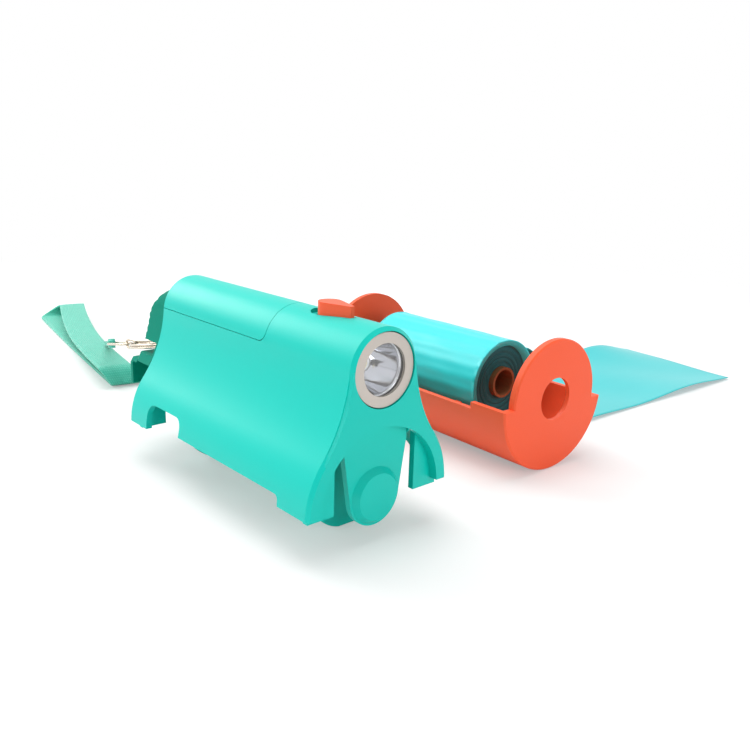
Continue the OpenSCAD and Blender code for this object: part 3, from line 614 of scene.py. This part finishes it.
THREAD, thread_shader = new_material("sewing thread, teal", "#1a9c88", 0.55)
thread_place = add(THREAD, "ShaderNodeTexCoord")
thread_twist = add(THREAD, "ShaderNodeTexNoise", {"Scale": 1 / (0.4 * MM)},
                   Vector=thread_place.outputs["Object"])
thread_bump = add(THREAD, "ShaderNodeBump", {"Strength": 0.5, "Distance": 0.1 * MM},
                  Height=thread_twist.outputs["Fac"])
feed(THREAD, thread_shader, "Normal", thread_bump.outputs["Normal"])


# %% [markdown]
# ## The wrist strap
#
# The strap is one band laid back on itself, with a bend at each end, so it is built as a closed
# ribbon: a middle line that runs out along the floor, turns, and comes back on top.  At each
# point the band has a direction along, a direction across and a thickness.  Real webbing sags
# and leans, so the upper run sinks in the middle and the whole loop leans a little towards its
# ends.  The long edges are rounded, as a woven selvedge is.

# %% Build the loop
WEB_W, WEB_T = 14.0, 1.5
LOOP_AT, LOOP_TURN = (-164.0, 12.7), math.radians(10)
LOOP_LEN, NEAR_R, FAR_R, SAG = 155.0, 4.0, 3.2, 1.4
RUN_STEPS, BEND_STEPS = 60, 18


def low_shift(t):
    """How far the lower run lies aside of the loop's straight middle line, t from near to far."""
    return -2.3 - 4.5 * t + 2.2 * t * t


def top_shift(t):
    """The same for the upper run, which crosses over the lower one."""
    return -7.3 + 13.6 * t * t


def loop_line():
    """Points (along, height, aside) of the band's middle line."""
    low = WEB_T / 2
    out = [(-LOOP_LEN * t, low, low_shift(t)) for t in np.linspace(0, 1, RUN_STEPS)]
    far, near, back = [], [], []
    for a in np.linspace(0, math.pi, BEND_STEPS)[1:]:
        k = (1 - math.cos(a)) / 2
        far.append((-LOOP_LEN - FAR_R * math.sin(a), low + FAR_R - FAR_R * math.cos(a),
                    (1 - k) * low_shift(1) + k * top_shift(1)))
    for t in np.linspace(1, 0, RUN_STEPS)[1:]:
        height = low + 2 * NEAR_R + 2 * (FAR_R - NEAR_R) * t
        back.append((-LOOP_LEN * t, height - SAG * math.sin(math.pi * t) ** 2, top_shift(t)))
    for a in np.linspace(0, math.pi, BEND_STEPS)[1:-1]:
        k = (1 - math.cos(a)) / 2
        near.append((NEAR_R * math.sin(a), low + NEAR_R + NEAR_R * math.cos(a),
                     (1 - k) * top_shift(0) + k * low_shift(0)))
    return np.array(out + far + back + near)


def band_rows(line, width, thick, place, heading):
    """Rows of a closed band round a middle line; place and heading set it on the floor."""
    flow = np.roll(line[:, :2], -1, 0) - np.roll(line[:, :2], 1, 0)
    flow /= np.linalg.norm(flow, axis=1)[:, None]
    normal = np.stack([-flow[:, 1], flow[:, 0]], 1)
    half, skin = width / 2, thick / 2
    face = [(s * (half - skin * 0.6), skin * (1 - 0.15 * s * s)) for s in np.linspace(-1, 1, 13)]
    edge = [(half, 0.5 * skin), (half, -0.5 * skin)]
    ring = face + edge + [(-y, -t) for y, t in face] + [(-y, -t) for y, t in edge]
    forward = np.array([math.cos(heading), math.sin(heading)])
    side = np.array([-math.sin(heading), math.cos(heading)])
    steps = np.linalg.norm(np.diff(line, axis=0, append=line[:1]), axis=1)
    run = np.concatenate([[0], np.cumsum(steps)[:-1]])
    rows, uv = [], []
    for (u, h, aside), tilt, gone in zip(line, normal, run):
        row = []
        for y, t in ring:
            flat = np.array(place) + forward * (u + tilt[0] * t) + side * (y + aside)
            row.append((flat[0], flat[1], h + tilt[1] * t))
        rows.append(row)
        uv.append([(gone * MM, y * MM) for y, _ in ring])
    return rows, uv


rows, uv = band_rows(loop_line(), WEB_W, WEB_T, LOOP_AT, -LOOP_TURN)
strap = lay_grid("strap_loop", rows, close_u=True, close_v=True, uv=uv)
strap.data.materials.append(WEBBING)
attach(strap, "strap")
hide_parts("wrist_strap")
print("strap loop rows:", len(rows), "top in mm:", round(max(p[2] for r in rows for p in r), 1))

# %% [markdown]
# ## The sewn tab
#
# A narrow strip of the same yarn joins the loop to the last wire link.  It goes round the wire
# and back to the band, where both ends are sewn down.  It is built as a closed band again, much
# narrower, in the upright plane through the link and the bend of the loop.

# %% Build the tab
TAB_W, TAB_T, EYE_R, TAB_HALF_GAP, TAB_CLOSING = 2.4, 0.6, 1.5, 0.45, 7
TAB_STEPS, EYE_STEPS = 30, 16
TAB_SECTION = ((-1, 1), (0, 1.1), (1, 1), (1.06, 0), (1, -1), (0, -1.1), (-1, -1), (-1.06, 0))
WIRE = np.array([-129.9, -10.0, 28.2])
SEWN = np.array([-204.0, 19.4, 9.3])
reach = SEWN - WIRE
tab_len = float(np.linalg.norm(reach))
along = reach / tab_len
flat_side = np.cross((0, 0, 1), along)
flat_side /= np.linalg.norm(flat_side)
tab_up = np.cross(along, flat_side)
line = [(t * tab_len, TAB_HALF_GAP + (EYE_R - TAB_HALF_GAP) * math.exp(-t * TAB_CLOSING))
        for t in np.linspace(1, 0, TAB_STEPS)]
line += [(-EYE_R * math.sin(a), EYE_R * math.cos(a))
         for a in np.linspace(0, math.pi, EYE_STEPS)[1:-1]]
line += [(u, -h) for u, h in reversed(line[:TAB_STEPS])]
line = np.array(line)
grow = np.gradient(line, axis=0)
grow /= np.linalg.norm(grow, axis=1)[:, None]
rows, uv, run = [], [], 0.0
for i, (u, h) in enumerate(line):
    run += float(np.linalg.norm(line[i] - line[i - 1])) if i else 0.0
    face = np.array([-grow[i, 1], grow[i, 0]])
    row = []
    for y, t in TAB_SECTION:
        at = line[i] + face * t * TAB_T / 2
        row.append(WIRE + along * at[0] + tab_up * at[1] + flat_side * y * TAB_W / 2)
    rows.append(row)
    uv.append([(run * MM, k * TAB_W * MM / len(TAB_SECTION)) for k in range(len(TAB_SECTION))])
tab = lay_grid("strap_eye", rows, close_v=True, uv=uv)
tab.data.materials.append(WEBBING)
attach(tab, "strap")
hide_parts("strap_tab")
print("tab length in mm:", round(tab_len, 1))

# %% Sew it down
STITCHES, STITCH_STEPS, STITCH_MM, THREAD_R, THREAD_SIDES = 7, 8, 2.6, 0.22, 8
STITCH_START, STITCH_PITCH, STITCH_RISE = 1.0, 1.1, 0.18
rows = []
for k in range(STITCHES * STITCH_STEPS + 1):
    t = k / STITCH_STEPS
    at = SEWN - along * (STITCH_START + STITCH_PITCH * t)
    at = at + flat_side * STITCH_MM / 2 * math.sin(math.pi * t)
    at = at + tab_up * (TAB_HALF_GAP + TAB_T / 2 + STITCH_RISE * abs(math.cos(math.pi * t)))
    rows.append([at + THREAD_R * (tab_up * math.sin(a) + along * math.cos(a))
                 for a in np.linspace(0, 2 * math.pi, THREAD_SIDES, endpoint=False)])
thread = lay_grid("tab_stitches", rows, close_v=True)
thread.data.materials.append(THREAD)
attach(thread, "strap")

# %% [markdown]
# ## Bag film
#
# The bags are thin polyethylene film, wound flat.  Film is soft and slightly shiny, with an IOR
# of 1.51.  Real film lets some light through, which makes its folds glow a little; the materials
# here let no light through.  Fine creases run along the roll, and the printed side is left bare
# here.  On the wound end only the edges of the layers show, and there the film looks much darker,
# as no light comes back from between them.

# %% Make the film
FILM_COAT = dict(IOR=1.51, Specular_IOR_Level=0.3, Coat_Weight=0.15, Coat_Roughness=0.25)


def film(name, base, deep, crease_mm, stretch, bumps, roughness=0.36):
    """Thin soft film; creases are stretched along the axis that stretch names."""
    material, shader = new_material(name, base, roughness, **FILM_COAT)
    place = add(material, "ShaderNodeTexCoord")
    squeeze = add(material, "ShaderNodeMapping", {"Scale": stretch}, Vector=place.outputs["Object"])
    crease = add(material, "ShaderNodeTexNoise",
                 {"Scale": 1 / (crease_mm * MM), "Detail": 5.0, "Roughness": 0.6},
                 Vector=squeeze.outputs["Vector"])
    tone = add(material, "ShaderNodeMix", {"data_type": "RGBA"}, in0=crease.outputs["Fac"])
    tone.inputs[6].default_value = linear(deep)
    tone.inputs[7].default_value = linear(base)
    feed(material, shader, "Base Color", tone.outputs[2])
    bump = add(material, "ShaderNodeBump", {"Strength": bumps, "Distance": 0.6 * MM},
               Height=crease.outputs["Fac"])
    feed(material, shader, "Normal", bump.outputs["Normal"])
    return material


FILM_WOUND = film("polyethylene film, wound", "#3ad9dc", "#2fd2d6", 9.0, (0.35, 1.0, 1.0), 0.1)
FILM_LOOSE = film("polyethylene film, loose", "#46c9cc", "#3bc0c4", 14.0, (1.0, 0.4, 1.0), 0.3)

LAYERS, layer_shader = new_material("film edges on end", "#1c6f70", 0.6, Specular_IOR_Level=0.2)
layer_place = add(LAYERS, "ShaderNodeUVMap", {"uv_map": "uv"})
layer_ring = add(LAYERS, "ShaderNodeTexWave",
                 {"bands_direction": "Y", "Scale": WAVE_UNIT / (0.45 * MM),
                  "Distortion": 2.5, "Detail": 3.0, "Detail Scale": 0.4},
                 Vector=layer_place.outputs["UV"])
layer_dark = add(LAYERS, "ShaderNodeMix", {"data_type": "RGBA"}, in0=layer_ring.outputs["Fac"])
layer_dark.inputs[6].default_value = linear("#1b5c62")
layer_dark.inputs[7].default_value = linear("#347f85")
feed(LAYERS, layer_shader, "Base Color", layer_dark.outputs[2])

CARD = moulded("grey-brown core board", "#9a6a44", "#7f5434", 0.85, 0.6)
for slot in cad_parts["roll_core"].material_slots:
    slot.material = CARD

# %% [markdown]
# ## The bag roll
#
# The roll is one long flat tube of film wound on a card core.  Its round side is not a true
# cylinder: the layers settle, the wrap ends in a step, and the film pulls into shallow creases.
# The end face shows the layers as fine rings.  Winding is never even, so some layers stand out
# further than others, and the outermost turns overhang the middle.  All of it is one turned
# profile whose points are nudged by smooth waves, with a fixed start for the random numbers.

# %% Build the roll
TRAY_AT, TRAY_TURN = np.array([11.6, 81.0, 24.9]), math.radians(-2.3)
ROLL_FRONT, ROLL_LEN, ROLL_R, CORE_R = -23.0, 58.0, 15.7, 5.5


def on_tray(x, y, z):
    """A point of the tray's own frame, in millimetres, in the row frame."""
    c, s = math.cos(TRAY_TURN), math.sin(TRAY_TURN)
    return (TRAY_AT[0] + c * x - s * y, TRAY_AT[1] + s * x + c * y, TRAY_AT[2] + z)


random = np.random.default_rng(11)
LAYER_COUNT, ROLL_TURNS, SIDE_STEPS = 18, 160, 40
OUTER = 4
END_DEPTH = random.uniform(0.0, 0.3, LAYER_COUNT) + 2.0
END_DEPTH[-OUTER:] = (0.5, 0.2, 0.1, 0.0)


def end_profile(front):
    """Points (x, radius) from the bore out to the round side, with a step at every layer."""
    sign = -1 if front else 1
    x0 = ROLL_FRONT if front else ROLL_FRONT - ROLL_LEN
    radii = np.linspace(CORE_R + 0.05, ROLL_R - 0.25, LAYER_COUNT + 1)
    points = []
    for k in range(LAYER_COUNT):
        x = x0 + sign * END_DEPTH[k]
        points += [(x, radii[k] + 0.04), (x, radii[k + 1] - 0.04)]
    return points


ends = end_profile(True)
side = [(ROLL_FRONT - 0.05 - t * (ROLL_LEN - 0.1), ROLL_R) for t in np.linspace(0, 1, SIDE_STEPS)]
wrap = ends + side + end_profile(False)[::-1]
angles = np.linspace(0, 2 * math.pi, ROLL_TURNS, endpoint=False)
WRAP_END, WRAP_SKIN, WRAP_STEP = math.radians(150), 0.22, 0.25
BROAD_CREASE, FINE_CREASE = 0.10, 0.07
rows, uv = [], []
for a in angles:
    row, marks = [], []
    since = (a - WRAP_END) % (2 * math.pi) / (2 * math.pi)
    for x, r in wrap:
        if r >= ROLL_R:
            crease = BROAD_CREASE * math.sin(9 * a + 0.11 * x) * math.sin(0.21 * x + 2.1 * a)
            crease += FINE_CREASE * math.sin(23 * a - 0.05 * x)
            r = ROLL_R - WRAP_SKIN - WRAP_STEP * since + crease
        row.append(on_tray(x, r * math.sin(a), r * math.cos(a)))
        marks.append((a / (2 * math.pi) * 0.05, r * MM))
    rows.append(row)
    uv.append(marks)
roll = lay_grid("wound_bags", rows, close_u=True, uv=uv)
roll.data.materials.append(FILM_WOUND)
roll.data.materials.append(LAYERS)
across_profile = len(wrap) - 1
for k, face in enumerate(roll.data.polygons):
    j = k % across_profile
    on_side = len(ends) - 1 - 2 * OUTER <= j < len(ends) + SIDE_STEPS + 2 * OUTER
    face.material_index = 0 if on_side else 1
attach(roll, "roll")
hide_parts("bag_roll")
print("roll faces:", len(roll.data.polygons))

# %% [markdown]
# ## The loose end of a bag
#
# One bag has been pulled out.  Its film leaves the roll, passes over the tray's far edge, drops
# to the floor and lies there, with one long edge lifted in a broad hump.  The line of the film is
# set first, then swept over the width of the roll.  Small waves keep it from looking like a
# board.

# %% Build the film's loose end
TAIL_W, TAIL_STEPS, TAIL_ACROSS = 58.0, 120, 40
HUMP_LIFT, HUMP_AT, HUMP_SPREAD, RIPPLE, CURL = 7.0, 128, 34, 0.6, 0.9
leave = math.radians(48)
corners = np.array([
    (ROLL_R * math.sin(leave) + 0.35, ROLL_R * math.cos(leave) + 0.35),
    (18.5, 6.5), (23.4, -1.6), (25.6, -3.4), (27.6, -9.0), (30.8, -17.5), (37.0, -23.2),
    (50.0, -24.3), (80.0, -24.4), (110.0, -24.4), (138.0, -24.4), (164.0, -24.4)])
knots = np.concatenate([[0], np.cumsum(np.linalg.norm(np.diff(corners, axis=0), axis=1))])


def spline(at):
    """A smooth curve through the corners, by Catmull-Rom pieces over their own lengths."""
    k = int(np.clip(np.searchsorted(knots, at, side="right") - 1, 0, len(corners) - 2))
    t = (at - knots[k]) / (knots[k + 1] - knots[k])
    p = [corners[max(k - 1, 0)], corners[k], corners[k + 1], corners[min(k + 2, len(corners) - 1)]]
    return 0.5 * (2 * p[1] + (p[2] - p[0]) * t + (2 * p[0] - 5 * p[1] + 4 * p[2] - p[3]) * t ** 2
                  + (3 * p[1] - p[0] - 3 * p[2] + p[3]) * t ** 3)


tail_len = float(knots[-1])
rows = []
for a in np.linspace(0, tail_len, TAIL_STEPS):
    y, z = spline(a)
    free = min(max((a - 30) / 60, 0), 1)
    row = []
    for b in np.linspace(0, 1, TAIL_ACROSS):
        x = ROLL_FRONT - b * TAIL_W
        hump = math.exp(-((y - HUMP_AT) / HUMP_SPREAD) ** 2)
        lift = free * HUMP_LIFT * b ** 2 * hump
        lift += free * RIPPLE * (1 + math.sin(0.11 * y + 5 * b)) * (0.2 + b)
        lift += free * CURL * (1 - b) ** 3 * (1 + math.sin(0.07 * y - 1.2))
        row.append(on_tray(x, y, z + lift))
    rows.append(row)
tail = lay_grid("loose_bag", rows)
tail.data.materials.append(FILM_LOOSE)
thicken = tail.modifiers.new("film thickness", "SOLIDIFY")
thicken.thickness, thicken.offset = 0.25 * MM, 0.0
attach(tail, "tray")
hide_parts("bag_tail")
print("loose film length in mm:", round(tail_len, 1))
